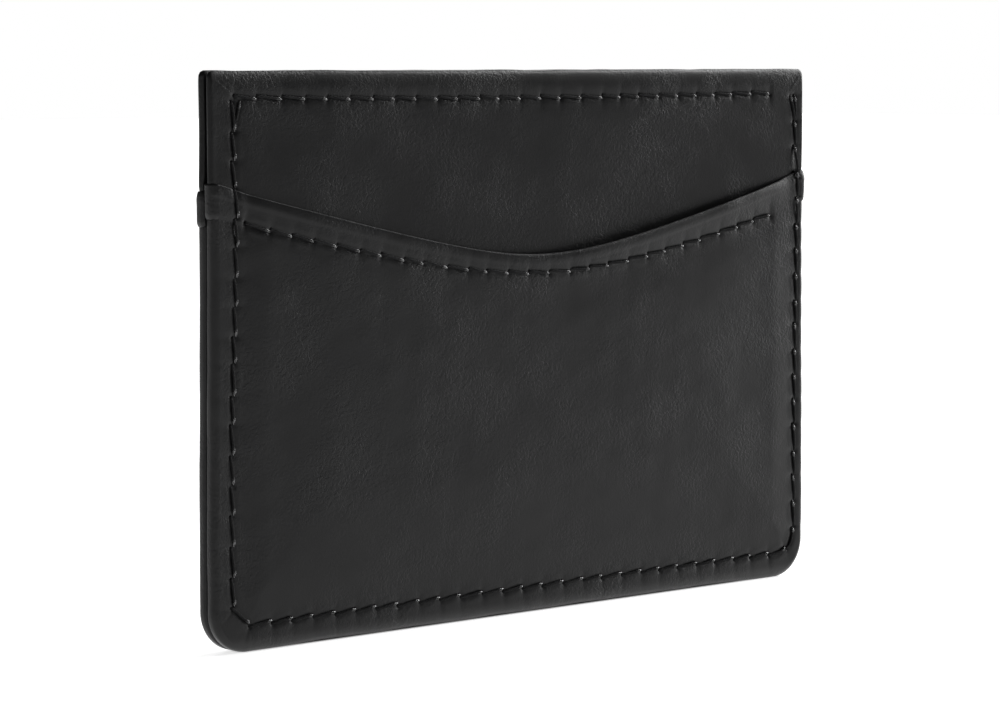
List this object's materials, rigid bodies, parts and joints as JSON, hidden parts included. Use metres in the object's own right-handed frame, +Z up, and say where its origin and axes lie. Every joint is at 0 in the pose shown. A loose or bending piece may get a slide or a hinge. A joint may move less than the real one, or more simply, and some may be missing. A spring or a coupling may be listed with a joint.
{
  "type": "card holder",
  "caption": "Slim black leather card holder with turned, stitched edges, a slot between its two halves and an outer pocket with a curved mouth on each side.",
  "frame": {"origin": "middle of the bottom edge of the card holder standing upright, between its two halves", "axes": "+X along the long side, towards the right as the front is seen; +Y out of the back, so the front faces -Y; +Z up, towards the open top edge"},
  "size_m": [0.102, 0.0058, 0.07],
  "materials": {
    "body_leather": "satin",
    "pocket_leather": "satin",
    "lining_cloth": "matte",
    "stiffener_board": "matte",
    "thread": "satin"
  },
  "bodies": {
    "root": {"front_body": "body_leather", "front_stiffener": "stiffener_board", "front_lining": "lining_cloth", "front_pocket": "pocket_leather", "front_top_needle_thread": "thread", "front_top_bobbin_thread": "thread", "front_mouth_needle_thread": "thread", "front_mouth_bobbin_thread": "thread", "back_body": "body_leather", "back_stiffener": "stiffener_board", "back_lining": "lining_cloth", "back_pocket": "pocket_leather", "back_top_needle_thread": "thread", "back_top_bobbin_thread": "thread", "back_mouth_needle_thread": "thread", "back_mouth_bobbin_thread": "thread", "perimeter_needle_thread": "thread", "perimeter_bobbin_thread": "thread"}
  },
  "joints": []
}
